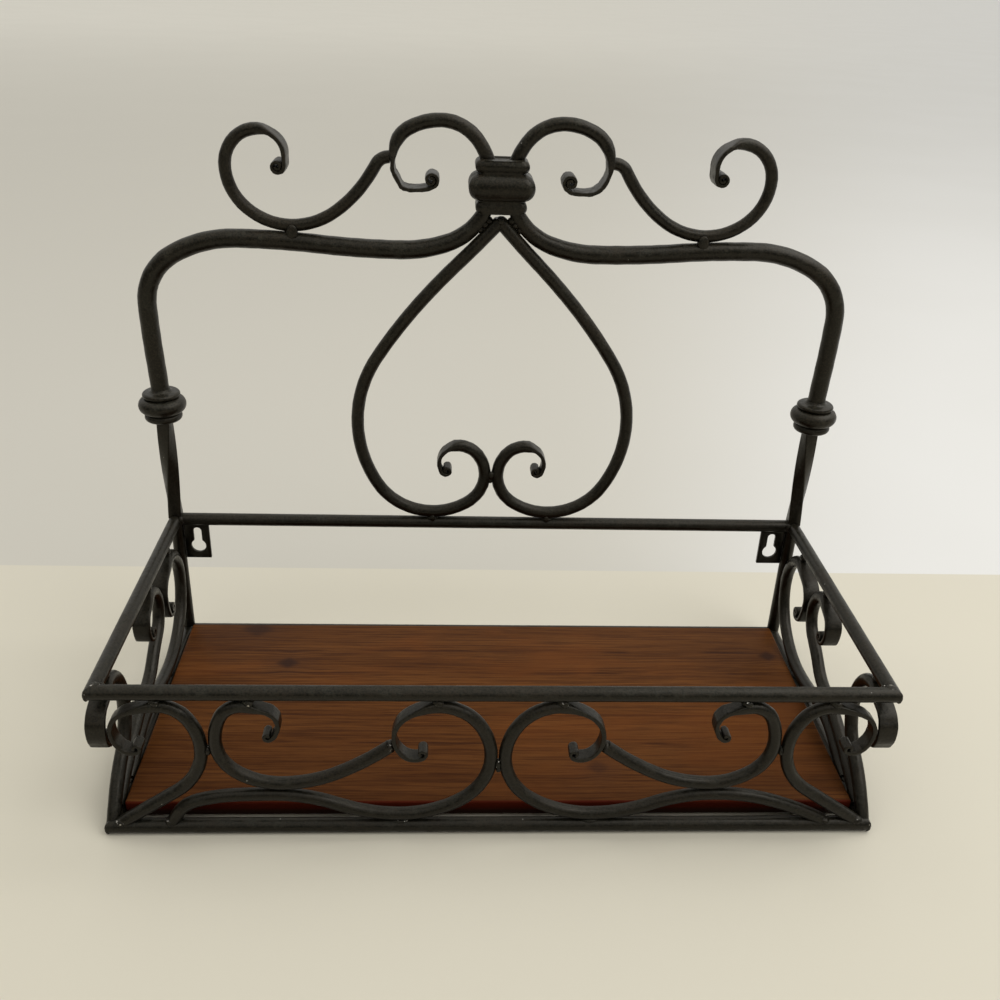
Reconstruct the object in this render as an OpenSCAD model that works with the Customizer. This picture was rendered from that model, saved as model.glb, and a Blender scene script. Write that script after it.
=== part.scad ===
// Wall shelf of bent and forged steel bar: a shallow tray with a wooden board,
// scrollwork on three sides, and a back with an arch, a heart and two pairs of scrolls.
// Left and right are as seen from the front. Units are millimetres.
// Inside the modules X runs right, Y runs back from the front, Z runs up;
// Y = 0 is the plane of the back bars and Z = 0 is what the shelf stands on.

/* [Tray] */
// Width between the centre lines of the side rails
frame_w = 406; // [402:1:410]
// Depth between the centre lines of the front and back rim rails
rim_d = 180; // [179:0.5:183]
// How far the front base rail stands forward of the front rim rail
front_lean = 2.5; // [2:0.5:3]
// Height of the centre line of the rim rails
rim_z = 90; // [89:0.5:91]
// Diameter of the rails and of the back posts
rail_dia = 8; // [7.8:0.1:8]

/* [Board] */
// Thickness of the board
board_t = 9; // [6:0.5:10]
// Height of the underside of the board
board_z = 2.2; // [1.5:0.1:2.5]
// Space between each end of the board and the side rail
board_fit = 0.15; // [0.1:0.05:0.5]
// Space between the front edge of the board and the front base rail
board_front_gap = 5; // [4:0.5:8]
// Space between the rear edge of the board and the rear base rail
board_back_gap = 0.5; // [0.2:0.1:1]
// Radius of the corners of the board
board_corner = 1.5; // [1:0.5:3]

/* [Tray scrolls] */
// Diameter of the front scroll bars
front_bar = 7; // [6.6:0.1:7.1]
// Width of the hammered ends of the front scrolls
front_strip = 8.5; // [7.5:0.5:9]
// Diameter of the side scroll bars
side_bar = 7.4; // [7:0.1:7.5]
// Width of the hammered ends of the side scrolls
side_strip = 10; // [9:0.5:10.5]
// Thickness of all the hammered ends
strip_t = 2.2; // [1.8:0.1:2.4]
// Outside diameter of the small rolls at the ends of the front scrolls
front_roll = 6.2; // [5.8:0.1:6.4]
// Outside diameter of the small rolls at the ends of the side scrolls
side_roll = 8.2; // [7.6:0.1:8.4]

/* [Back] */
// Side of the square bar that is twisted into the uprights
twist_bar = 8; // [7:0.5:8.5]
// Turn of each twisted upright from bottom to top
twist_turn = 90; // [60:15:180]
// Height of the side collars' undersides above the centre line of the rim rails
side_collar_rise = 70; // [68:0.5:71]
// Diameter of the arch bar
arch_bar = 10.8; // [10.4:0.1:11]
// Diameter of the arch bar where it enters the centre collar
arch_tip = 6.6; // [6.2:0.2:6.8]
// Diameter of the heart bar
heart_bar = 7.8; // [7.4:0.1:7.9]
// Width of the hammered ends of the heart
heart_strip = 10; // [9:0.5:11]
// Outside diameter of the small rolls inside the heart
heart_roll = 7.2; // [6.8:0.1:7.3]
// Diameter of the bars of the crown curls
curl_bar = 7.8; // [7.4:0.1:7.9]
// Diameter of the bars of the crown side scrolls
crown_bar = 7; // [6.6:0.1:7.1]
// Width of the hammered ends of the crown scrolls
crown_strip = 15; // [12:0.5:17]
// Outside diameter of the small rolls at the ends of the crown scrolls
crown_roll = 8.2; // [7.6:0.1:8.4]

/* [Collars] */
// Diameter of the flanges of the side collars
side_flange_dia = 22.5; // [21:0.5:24]
// Diameter of the raised band of the side collars
side_band_dia = 28.5; // [27:0.5:30]
// Height of the lower flange of the side collars
side_flange_h = 5; // [4.5:0.5:5.5]
// Height of the raised band of the side collars
side_band_h = 10; // [9:0.5:11]
// Height of the upper flange of the side collars
side_top_h = 3.4; // [3:0.2:4]
// Clearance between a bar and the collar it stands in
collar_fit = 0.2; // [0.15:0.05:0.3]
// Height of the centre collar's underside above the centre line of the rim rails
centre_collar_rise = 201.5; // [201:0.5:202]
// Width of the flanges of the centre collar
centre_flange_w = 30; // [28:0.5:32]
// Width of the raised band of the centre collar
centre_band_w = 37; // [35:0.5:39]
// Height of the lower flange of the centre collar
centre_low_h = 7; // [6:0.5:8]
// Height of the raised band of the centre collar
centre_band_h = 15.5; // [14:0.5:16]
// Height of the upper flange of the centre collar
centre_top_h = 7.5; // [7:0.5:8]

/* [Hangers] */
// Distance of each keyhole in from the centre line of the side rail
keyhole_inset = 12.5; // [12:0.25:13]
// Thickness of the hanger plates
hanger_t = 2; // [1.5:0.25:2.5]
// Width of the hanger plates
hanger_w = 16; // [15.5:0.25:17]
// Height of the hanger plates
hanger_h = 25; // [24:0.5:26]
// Radius of the corners of the hanger plates
hanger_corner = 1; // [0.5:0.25:1.5]
// Diameter of the round part of each keyhole
keyhole_dia = 9.4; // [9:0.1:9.6]
// Height of the centre of the round part of each keyhole
keyhole_z = 70; // [69.5:0.5:71]
// Width of the slot of each keyhole
keyhole_slot = 5.2; // [4.6:0.1:5.4]
// Height of the round part's centre to the top of the slot
keyhole_rise = 13.5; // [12:0.5:14]

/* [Welds] */
// Diameter of the weld beads between bars
bead_dia = 3.4; // [3:0.2:4]
// Clearance of a bead, and of any bar that is cut to fit another
bead_fit = 0.05; // [0.03:0.01:0.1]

/* [Shown] */
// Piece to draw

/* [Hidden] */
$fn = 48;
// Nominal sizes that the turning points of the scrolls are measured on
drawn_w = 406;
drawn_d = 180;
drawn_base = 4;
drawn_rise = 86;
drawn_back = 201.5;
rail_r = rail_dia / 2;
base_z = rail_r;
half_w = frame_w / 2;
base_d = rim_d + front_lean;
wide_scale = frame_w / drawn_w;
deep_scale = rim_d / drawn_d;
rise_scale = (rim_z - base_z) / drawn_rise;
back_scale = centre_collar_rise / drawn_back;
lean_angle = atan(front_lean / (rim_z - base_z));
post_bottom = base_z + rail_r + bead_fit;
post_top = rim_z - rail_r - bead_fit;
side_collar_z = rim_z + side_collar_rise;
centre_collar_z = rim_z + centre_collar_rise;
collar_h = side_flange_h + side_band_h + side_top_h;
keyhole_x = half_w - keyhole_inset;
back_reach = side_band_dia / 2;
bead_r = bead_dia / 2;
// The foremost bead lies between the two large scrolls, part of the way up the leaning front
middle_bead_rise = 46;
middle_bead_gap = 3.7;
front_edge = max(
  base_d + rail_r,
  base_d - middle_bead_rise * rise_scale * sin(lean_angle)
    + (bead_across(front_bar / 2, front_bar / 2, 2 * middle_bead_gap * wide_scale) + bead_r) * cos(lean_angle)
);
// Brings the middle of the outline to Y = 0
shift_y = (front_edge - back_reach) / 2;
roll_sweep = 235;
roll_steps = 8;
// How far a bent bar's flats may stray from its true bend
bend_tolerance = 0.25;
// Hammered ends keep slightly rounded faces
strip_squareness = 0.9;
bar_sides = 10;
arch_sides = 20;
// Half the distance between the bars that stand side by side in the centre collar
collar_pitch = 5.5;
// How far the centre collar's hole is larger than the bars of the crown
collar_hole_fit = 1.3;
band_steps = 10;
oblong_steps = 6;
twist_slices = 16;
plane_gap = 0.1;
// Heart: how far its apex hangs below the centre collar, the foot that rests on the rim rail,
// and the dip where its halves meet
heart_hang = 6.9;
heart_top = centre_collar_rise - heart_hang;
heart_top_out = 1.5;
heart_slope = 48;
heart_foot_out = 37.5;
heart_foot_rise = rail_r + heart_bar / 2 + 2 * plane_gap;
heart_dip = 35 * back_scale;
// Height above the rim of the arch's centre line where the crown side scrolls rest on it
arch_crest = 182.1 * back_scale;
more = 20;
steel = [0.17, 0.17, 0.15];
wood = [0.36, 0.2, 0.11];

// Bending a bar. A scroll is a list of turning points [out, up, heading],
// and two arcs that share a tangent join each point to the next.
function heading(a) = [cos(a), sin(a)];
function wrap(a) = a - 360 * round(a / 360);
function spot(p) = [p[0], p[1]];
function half_turn(p, q) = wrap(atan2(q[1] - p[1], q[0] - p[0]) - p[2]);
function reach(p, q) =
  let (v = spot(q) - spot(p), s = heading(p[2]), t = heading(q[2]))
  let (a = 2 * (1 - s * t), b = v * (s + t))
  a < 0.000001 ? (v * v) / (4 * (v * t)) : (sqrt(b * b + a * (v * v)) - b) / a;
function meeting(p, q) =
  (spot(p) + spot(q) + reach(p, q) * (heading(p[2]) - heading(q[2]))) / 2;
function arcs(way) = [
  for (i = [0 : len(way) - 2])
    let (m = meeting(way[i], way[i + 1]))
    each [
      [way[i][0], way[i][1], way[i][2], m[0], m[1]],
      [m[0], m[1], way[i][2] + 2 * half_turn(way[i], m), way[i + 1][0], way[i + 1][1]]
    ]
];
function scaled(way, out, up) = [for (p = way) [p[0] * out, base_z + (p[1] - drawn_base) * up, p[2]]];
function raised(way) = [for (p = way) [p[0], p[1] * back_scale, p[2]]];

// Stops along one arc: [out, up, heading, place in the chain of arcs]
function stops(arc, place) =
  let (end = [arc[3], arc[4]], half = half_turn(arc, end), run = norm(end - spot(arc)))
  let (count = max(1, ceil(sqrt(run * abs(half) * PI / 720 / bend_tolerance))))
  [
    for (k = [0 : count - 1])
      let (t = k / count, across = abs(half) < 0.05 ? run * t : run * sin(half * t) / sin(half))
      let (p = spot(arc) + across * heading(arc[2] + half * t))
      [p[0], p[1], arc[2] + 2 * half * t, place + t]
  ];

// A section is [half thickness, half width, squareness]: 0 is round, 1 is a rectangle
function section_point(s, a) =
  let (c = cos(a), d = sin(a), k = s[2])
  [
    s[0] * ((1 - k) * c + k * max(-1, min(1, sqrt(2) * c))),
    s[1] * ((1 - k) * d + k * max(-1, min(1, sqrt(2) * d)))
  ];
// Sections are given as [place, section]; between two places the bar is hammered from one to the next
function section_at(sections, place, i = 0) =
  i >= len(sections) - 1 || place <= sections[i][0]
  ? sections[i][1]
  : place < sections[i + 1][0]
  ? let (t = (place - sections[i][0]) / (sections[i + 1][0] - sections[i][0]))
    sections[i][1] + t * (sections[i + 1][1] - sections[i][1])
  : section_at(sections, place, i + 1);

// A bar that follows the stops with the given sections
module bar_along(line, sections, sides) {
  count = len(line);
  points = [
    for (stop = line)
      let (s = section_at(sections, stop[3]))
      for (j = [0 : sides - 1])
        let (e = section_point(s, j * 360 / sides))
        [stop[0] - e[0] * sin(stop[2]), stop[1] + e[0] * cos(stop[2]), e[1]]
  ];
  skin = [
    for (i = [0 : count - 2])
      for (j = [0 : sides - 1])
        let (a = i * sides + j, b = i * sides + (j + 1) % sides)
        each [[a, a + sides, b + sides], [a, b + sides, b]]
  ];
  first_end = [for (j = [0 : sides - 1]) j];
  last_end = [for (j = [0 : sides - 1]) count * sides - 1 - j];
  polyhedron(points = points, faces = concat(skin, [first_end, last_end]), convexity = 6);
}

// A scroll drawn flat: round bar up to one turning point, hammered flat after it,
// and closed by a small roll about a hub
module scroll(way, bar, flat_from, strip_w, roll_dia, hub, entry) {
  roll_r = (roll_dia - strip_t) / 2;
  spin = entry > way[len(way) - 1][2] ? 1 : -1;
  start = [hub[0] + spin * roll_r * sin(entry), hub[1] - spin * roll_r * cos(entry), entry];
  links = arcs(concat(way, [start]));
  line = concat(
    [for (i = [0 : len(links) - 1]) each stops(links[i], i)],
    [
      for (k = [0 : roll_steps])
        let (a = entry + spin * roll_sweep * k / roll_steps)
        [hub[0] + spin * roll_r * sin(a), hub[1] - spin * roll_r * cos(a), a, len(links)]
    ]
  );
  bar_along(line, [
    [2 * flat_from, [bar / 2, bar / 2, 0]],
    [2 * flat_from + 1, [strip_t / 2, strip_w / 2, strip_squareness]]
  ], bar_sides);
}

// Stands a flat drawing up in the plane of the back bars, on the centre line of the rear rim rail
module on_back() {
  translate([0, shift_y, rim_z])
    rotate([90, 0, 0])
      children();
}

// Stands a flat drawing up in the leaning plane of the tray front
module on_front() {
  translate([0, shift_y - base_d, base_z])
    rotate([-lean_angle, 0, 0])
      rotate([90, 0, 0])
        translate([0, -base_z, 0])
          children();
}

// Stands a flat drawing up in the plane of the right side, with its first axis forward
module on_right_side() {
  translate([half_w, shift_y, 0])
    rotate([0, 0, -90])
      rotate([90, 0, 0])
        children();
}

module to_left() {
  mirror([1, 0, 0])
    children();
}

// The room that the base rail under a scroll takes out of its foot
module base_rail_room(run) {
  translate([-more, base_z, 0])
    rotate([0, 90, 0])
      cylinder(h = run + 2 * more, r = rail_r + bead_fit);
}

// Straight rail along X, mitred at both ends so that its inner side faces +Y
module mitred_rail(run) {
  difference() {
    rotate([0, 90, 0])
      cylinder(h = run + 2 * rail_dia, r = rail_r, center = true);
    for (side = [-1, 1])
      translate([side * (run / 2 - plane_gap / 2), 0, 0])
        rotate([0, 0, side * 45])
          translate([side * more / 2, 0, 0])
            cube([more, 2 * more, more], center = true);
  }
}

module rail_ring_front(depth, z) {
  translate([0, shift_y - depth, z])
    mitred_rail(frame_w);
}

module rail_ring_back(z) {
  translate([0, shift_y, z])
    rotate([0, 0, 180])
      mitred_rail(frame_w);
}

module rail_ring_right(depth, z) {
  translate([half_w, shift_y - depth / 2, z])
    rotate([0, 0, 90])
      mitred_rail(depth);
}

module base_rail_front() {
  color(steel)
    rail_ring_front(base_d, base_z);
}

module base_rail_back() {
  color(steel)
    rail_ring_back(base_z);
}

module base_rail_right() {
  color(steel)
    rail_ring_right(base_d, base_z);
}

module base_rail_left() {
  to_left()
    base_rail_right();
}

module rim_rail_front() {
  color(steel)
    rail_ring_front(rim_d, rim_z);
}

module rim_rail_back() {
  color(steel)
    rail_ring_back(rim_z);
}

module rim_rail_right() {
  color(steel)
    rail_ring_right(rim_d, rim_z);
}

module rim_rail_left() {
  to_left()
    rim_rail_right();
}

// Round bar between the rear corners of the base and of the rim
module back_post_right() {
  color(steel)
    translate([half_w, shift_y, post_bottom])
      cylinder(h = post_top - post_bottom, r = rail_r);
}

module back_post_left() {
  to_left()
    back_post_right();
}

// Board with rounded upright corners that lies between the side rails
module board() {
  long = frame_w - rail_dia - 2 * board_fit;
  front = base_d - rail_r - board_front_gap;
  rear = rail_r + board_back_gap;
  color(wood)
    translate([0, shift_y - (front + rear) / 2, board_z])
      linear_extrude(board_t)
        union() {
          square([long - 2 * board_corner, front - rear], center = true);
          square([long, front - rear - 2 * board_corner], center = true);
          for (x = [-1, 1])
            for (y = [-1, 1])
              translate([x * (long / 2 - board_corner), y * ((front - rear) / 2 - board_corner)])
                circle(board_corner);
        }
}

// Large scroll: a flat crest along the base that turns up into a nearly full circle
module front_large_scroll_right() {
  way = scaled([
    [179, 7, 150], [117.7, 25.2, 180], [51.1, 11.7, 180],
    [middle_bead_gap, drawn_base + middle_bead_rise, 90], [31.8, 82.2, 0], [54.1, 64, -90]
  ], wide_scale, rise_scale);
  hub = [39.7 * wide_scale, base_z + 50 * rise_scale];
  color(steel)
    on_front()
      difference() {
        scroll(way, front_bar, 4, front_strip, front_roll, hub, -215);
        base_rail_room(half_w);
      }
}

module front_large_scroll_left() {
  to_left()
    front_large_scroll_right();
}

// Small scroll between the large one and the corner, curled the other way
module front_small_scroll_right() {
  way = scaled([
    [57.8, 55.4, -38], [113.2, 32.5, 0], [145.2, 59.4, 90], [130, 82.2, 180], [112.4, 72, 270]
  ], wide_scale, rise_scale);
  hub = [118 * wide_scale, base_z + 61 * rise_scale];
  color(steel)
    on_front()
      scroll(way, front_bar, 3, front_strip, front_roll, hub, 330);
}

module front_small_scroll_left() {
  to_left()
    front_small_scroll_right();
}

// Corner scroll that curls outward under the rim
module front_corner_scroll_right() {
  way = scaled([
    [197, 7, 145], [152.6, 55.7, 90], [173, 82.2, 0], [196, 67.8, -90]
  ], wide_scale, rise_scale);
  hub = [184.5 * wide_scale, base_z + 53.7 * rise_scale];
  color(steel)
    on_front()
      difference() {
        scroll(way, front_bar, 2, front_strip, front_roll, hub, -200);
        base_rail_room(half_w);
      }
}

module front_corner_scroll_left() {
  to_left()
    front_corner_scroll_right();
}

// Rear side scroll that stands against the back post
module side_rear_scroll_right() {
  way = scaled([
    [150, 7.3, 160], [108, 19, 180], [55, 13.5, 180],
    [8, 52, 90], [30.5, 77.5, 0], [55, 64, -90]
  ], deep_scale, rise_scale);
  hub = [45 * deep_scale, base_z + 47 * rise_scale];
  color(steel)
    on_right_side()
      difference() {
        scroll(way, side_bar, 4, side_strip, side_roll, hub, -200);
        base_rail_room(rim_d);
      }
}

module side_rear_scroll_left() {
  to_left()
    side_rear_scroll_right();
}

// Middle side scroll, a long hook that rises from the front foot
module side_middle_scroll_right() {
  way = scaled([
    [171, 7.3, 150], [120, 29, 163], [86, 38, 143],
    [60.1, 63, 90], [76, 80, 0], [95, 69, -90]
  ], deep_scale, rise_scale);
  hub = [87.5 * deep_scale, base_z + 57.5 * rise_scale];
  color(steel)
    on_right_side()
      difference() {
        scroll(way, side_bar, 4, side_strip, side_roll, hub, -190);
        base_rail_room(rim_d);
      }
}

module side_middle_scroll_left() {
  to_left()
    side_middle_scroll_right();
}

// Corner side scroll that curls forward past the front rim rail
module side_corner_scroll_right() {
  way = scaled([
    [180.5, 6, 125], [140, 55, 90], [160, 80, 0], [184, 67, -90]
  ], deep_scale, rise_scale);
  hub = [175 * deep_scale, base_z + 54.5 * rise_scale];
  color(steel)
    on_right_side()
      difference() {
        scroll(way, side_bar, 2, side_strip, side_roll, hub, -190);
        base_rail_room(rim_d);
        translate([base_d, base_z, -more])
          cylinder(h = 2 * more, r = rail_r + bead_fit);
      }
}

module side_corner_scroll_left() {
  to_left()
    side_corner_scroll_right();
}

// Plate with a keyhole, tucked under the rear rim rail beside the post
module hanger_plate_right() {
  low = rim_z - rail_r - bead_fit - hanger_h;
  outer = half_w - rail_r - bead_fit;
  color(steel)
    translate([0, shift_y + hanger_t, 0])
      rotate([90, 0, 0])
        linear_extrude(hanger_t)
          difference() {
            union() {
              translate([outer - hanger_w, low + hanger_corner])
                square([hanger_w, hanger_h - hanger_corner]);
              translate([outer - hanger_w + hanger_corner, low])
                square([hanger_w - 2 * hanger_corner, hanger_h]);
              for (x = [outer - hanger_w + hanger_corner, outer - hanger_corner])
                translate([x, low + hanger_corner])
                  circle(hanger_corner);
            }
            translate([keyhole_x, keyhole_z])
              circle(d = keyhole_dia);
            translate([keyhole_x - keyhole_slot / 2, keyhole_z])
              square([keyhole_slot, keyhole_rise - keyhole_slot / 2]);
            translate([keyhole_x, keyhole_z + keyhole_rise - keyhole_slot / 2])
              circle(d = keyhole_slot);
          }
}

module hanger_plate_left() {
  to_left()
    hanger_plate_right();
}

// Square bar twisted about its own axis, from the rim corner to the side collar
module twisted_upright_right() {
  low = rim_z + rail_r + bead_fit;
  color(steel)
    translate([half_w, shift_y, low])
      linear_extrude(side_collar_z - bead_fit - low, twist = twist_turn, slices = twist_slices, $fn = 4)
        square(twist_bar, center = true);
}

module twisted_upright_left() {
  to_left()
    twisted_upright_right();
}

// Turned collar: two flanges and a half-round band, bored from above for the arch bar
module side_collar_right() {
  band_r = side_band_h / 2;
  color(steel)
    translate([half_w, shift_y, side_collar_z])
      difference() {
        union() {
          cylinder(h = collar_h, d = side_flange_dia);
          translate([0, 0, side_flange_h + band_r])
            rotate_extrude()
              union() {
                translate([0, -band_r])
                  square([side_band_dia / 2 - band_r, side_band_h]);
                translate([side_band_dia / 2 - band_r, 0])
                  circle(band_r);
              }
        }
        translate([0, 0, side_flange_h])
          cylinder(h = more, d = arch_bar + 2 * collar_fit);
      }
}

module side_collar_left() {
  to_left()
    side_collar_right();
}

// Arch bar: it stands in the side collar, bends over and thins into the centre collar
module arch_right() {
  way = concat(
    [[half_w, side_collar_rise + side_flange_h + bead_fit, 90]],
    raised([
      [half_w + 1.8, 142, 90], [150 * wide_scale, 182.7, 180], [57 * wide_scale, 178.5, 180],
      [9.3, 201, 118], [6.5, 213, 95]
    ])
  );
  links = arcs(way);
  last = way[len(way) - 1];
  line = concat(
    [for (i = [0 : len(links) - 1]) each stops(links[i], i)],
    [[last[0], last[1], last[2], len(links)]]
  );
  color(steel)
    on_back()
      bar_along(line, [
        [6, [arch_bar / 2, arch_bar / 2, 0]],
        [len(links), [arch_tip / 2, arch_tip / 2, 0]]
      ], arch_sides);
}

module arch_left() {
  to_left()
    arch_right();
}

// Half of the heart: from the apex down and round, ending in a roll beside the middle
module heart_right() {
  middle = heart_bar / 2 + plane_gap;
  way = concat(
    [[heart_top_out, heart_top, -heart_slope]],
    raised([[44, 149.6, -49], [84.3, 70, -90]]),
    [[heart_foot_out, heart_foot_rise, -180], [middle, heart_dip, -270]],
    raised([[21.5, 55.3, -360], [33.4, 44, -450]])
  );
  color(steel)
    on_back()
      difference() {
        scroll(way, heart_bar, 5, heart_strip, heart_roll, [28.2, 39.2 * back_scale], -540);
        translate([plane_gap - more, heart_top - more, -more / 2])
          cube([more, 2 * more, more]);
      }
}

module heart_left() {
  to_left()
    heart_right();
}

// Oblong collar round the bars that meet in the middle: two flanges and a half-round band
module centre_collar() {
  flange_r = centre_flange_w / 2 - collar_pitch;
  band_r = centre_band_h / 2;
  band_hub = centre_band_w / 2 - collar_pitch - band_r;
  top = centre_low_h + centre_band_h + centre_top_h;
  outline = concat(
    [[flange_r, 0], [flange_r, centre_low_h]],
    [
      for (k = [1 : band_steps - 1])
        let (a = 180 * k / band_steps - 90)
        if (band_hub + band_r * cos(a) > flange_r)
          [band_hub + band_r * cos(a), centre_low_h + band_r + band_r * sin(a)]
    ],
    [[flange_r, top - centre_top_h], [flange_r, top]]
  );
  color(steel)
    translate([0, shift_y, centre_collar_z])
      difference() {
        oblong_turned(outline);
        translate([0, 0, -1])
          linear_extrude(top + 2)
            oblong(curl_bar / 2 + collar_hole_fit);
      }
}

// A solid of oblong slices; the outline gives the end radius at each height
module oblong_turned(outline) {
  sides = 4 * oblong_steps + 4;
  points = [
    for (o = outline)
      for (j = [0 : sides - 1])
        let (half = j < sides / 2 ? 1 : -1, k = j % (sides / 2), a = -90 + 180 * k / (sides / 2 - 1))
        [half * (collar_pitch + o[0] * cos(a)), half * o[0] * sin(a), o[1]]
  ];
  skin = [
    for (i = [0 : len(outline) - 2])
      for (j = [0 : sides - 1])
        let (a = i * sides + j, b = i * sides + (j + 1) % sides)
        each [[a, b + sides, b], [a, a + sides, b + sides]]
  ];
  low_end = [for (j = [0 : sides - 1]) j];
  high_end = [for (j = [0 : sides - 1]) len(outline) * sides - 1 - j];
  polyhedron(points = points, faces = concat(skin, [low_end, high_end]), convexity = 4);
}

module oblong(r) {
  square([2 * collar_pitch, 2 * r], center = true);
  for (x = [-1, 1])
    translate([x * collar_pitch, 0])
      circle(r);
}

// Curl that rises from the centre collar and turns down and in
module crown_curl_right() {
  way = raised([[5, 217, 86], [34, 250.2, 0], [60.6, 230, -90], [48, 213.8, -180]]);
  hub = [38.4, 219.6 * back_scale];
  color(steel)
    on_back()
      scroll(way, curl_bar, 1.6, crown_strip, crown_roll, hub, -240);
}

module crown_curl_left() {
  to_left()
    crown_curl_right();
}

// Scroll that rests on the arch, with its blunt end turned level against the crown curl
module crown_side_scroll_right() {
  low = arch_crest + (arch_bar + crown_bar) / 2;
  way = concat(
    raised([[62.9, 230, 0], [75.5, 217.5, -55]]),
    [[119, low, 0]],
    raised([[153.4, 222.5, 90], [134, 242.8, 180], [120, 230, 270]])
  );
  hub = [124, 224 * back_scale];
  color(steel)
    on_back()
      scroll(way, crown_bar, 4, crown_strip, crown_roll, hub, 330);
}

module crown_side_scroll_left() {
  to_left()
    crown_side_scroll_right();
}

// Weld bead in the groove between two bars that lie side by side
function bead_along(ra, rb, d) =
  let (a = ra + bead_r + bead_fit, b = rb + bead_r + bead_fit)
  (d * d + a * a - b * b) / (2 * d);
function bead_across(ra, rb, d) = sqrt(pow(ra + bead_r + bead_fit, 2) - pow(bead_along(ra, rb, d), 2));

module bead(p, ra, q, rb) {
  d = norm(q - p);
  c = p + (q - p) * bead_along(ra, rb, d) / d;
  translate([c[0], c[1], bead_across(ra, rb, d)])
    sphere(bead_r);
}

module front_weld_beads() {
  bar_r = front_bar / 2;
  color(steel)
    on_front() {
      for (side = [-1, 1])
        for (top = [31.8, 130, 173]) {
          x = side * top * wide_scale;
          bead([x, base_z + 78.2 * rise_scale], bar_r, [x, rim_z], rail_r);
        }
      bead(
        [-middle_bead_gap * wide_scale, base_z + middle_bead_rise * rise_scale], bar_r,
        [middle_bead_gap * wide_scale, base_z + middle_bead_rise * rise_scale], bar_r
      );
    }
}

module side_weld_beads_right() {
  bar_r = side_bar / 2;
  color(steel)
    on_right_side()
      bead([0, base_z + 48 * rise_scale], rail_r, [8 * deep_scale, base_z + 48 * rise_scale], bar_r);
}

module side_weld_beads() {
  side_weld_beads_right();
  to_left()
    side_weld_beads_right();
}

module back_weld_beads() {
  middle = heart_bar / 2 + plane_gap;
  notch = heart_top - heart_top_out * cos(heart_slope) / sin(heart_slope);
  color(steel)
    on_back() {
      bead([-middle, heart_dip], heart_bar / 2, [middle, heart_dip], heart_bar / 2);
      translate([0, notch + (bead_r + bead_fit) / sin(heart_slope), 0])
        sphere(bead_r);
      for (side = [-1, 1])
        bead([side * heart_foot_out, heart_foot_rise], heart_bar / 2, [side * heart_foot_out, 0], rail_r);
    }
}

board();
base_rail_front();
base_rail_back();
base_rail_left();
base_rail_right();
rim_rail_front();
rim_rail_back();
rim_rail_left();
rim_rail_right();
back_post_left();
back_post_right();
front_large_scroll_left();
front_large_scroll_right();
front_small_scroll_left();
front_small_scroll_right();
front_corner_scroll_left();
front_corner_scroll_right();
side_rear_scroll_left();
side_rear_scroll_right();
side_middle_scroll_left();
side_middle_scroll_right();
side_corner_scroll_left();
side_corner_scroll_right();
hanger_plate_left();
hanger_plate_right();
twisted_upright_left();
twisted_upright_right();
side_collar_left();
side_collar_right();
arch_left();
arch_right();
heart_left();
heart_right();
centre_collar();
crown_curl_left();
crown_curl_right();
crown_side_scroll_left();
crown_side_scroll_right();
front_weld_beads();
side_weld_beads();
back_weld_beads();
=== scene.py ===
import math
import random

import bmesh
import bpy
import numpy as np
from mathutils import Matrix, Vector


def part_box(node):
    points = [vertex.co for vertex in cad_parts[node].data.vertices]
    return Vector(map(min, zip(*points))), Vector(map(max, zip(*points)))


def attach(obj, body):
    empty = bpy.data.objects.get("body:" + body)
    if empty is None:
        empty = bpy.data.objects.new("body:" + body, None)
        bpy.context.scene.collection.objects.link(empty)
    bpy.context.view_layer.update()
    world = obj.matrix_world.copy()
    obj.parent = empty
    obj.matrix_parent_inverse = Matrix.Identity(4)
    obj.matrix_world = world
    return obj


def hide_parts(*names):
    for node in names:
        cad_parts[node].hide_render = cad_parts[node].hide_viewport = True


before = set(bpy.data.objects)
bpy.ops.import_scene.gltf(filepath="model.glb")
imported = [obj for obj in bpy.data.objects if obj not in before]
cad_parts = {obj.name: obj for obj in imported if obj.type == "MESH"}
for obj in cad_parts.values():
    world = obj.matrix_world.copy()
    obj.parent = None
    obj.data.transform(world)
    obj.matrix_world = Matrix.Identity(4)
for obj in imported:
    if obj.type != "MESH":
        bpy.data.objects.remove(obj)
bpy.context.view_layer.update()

# Base rails: four lengths of 8 mm round steel bar that the whole shelf stands on, mitred and welded at the
# corners, with the points ground blunt; the shelf is sprayed with one bronze-black paint at the end.
mm = 0.001
bar_sides = 28
bronze_black = (0.0016, 0.0015, 0.0008, 1)
worn_brown = (0.032, 0.0245, 0.0155, 1)
grey_bloom = (0.046, 0.0465, 0.036, 1)
# painted highlight: the lighter colour given to what faces up, where the light falls
painted_highlight_top = (0.028, 0.0265, 0.0185, 1)
bare_speck = (0.4, 0.39, 0.36, 1)


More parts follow.
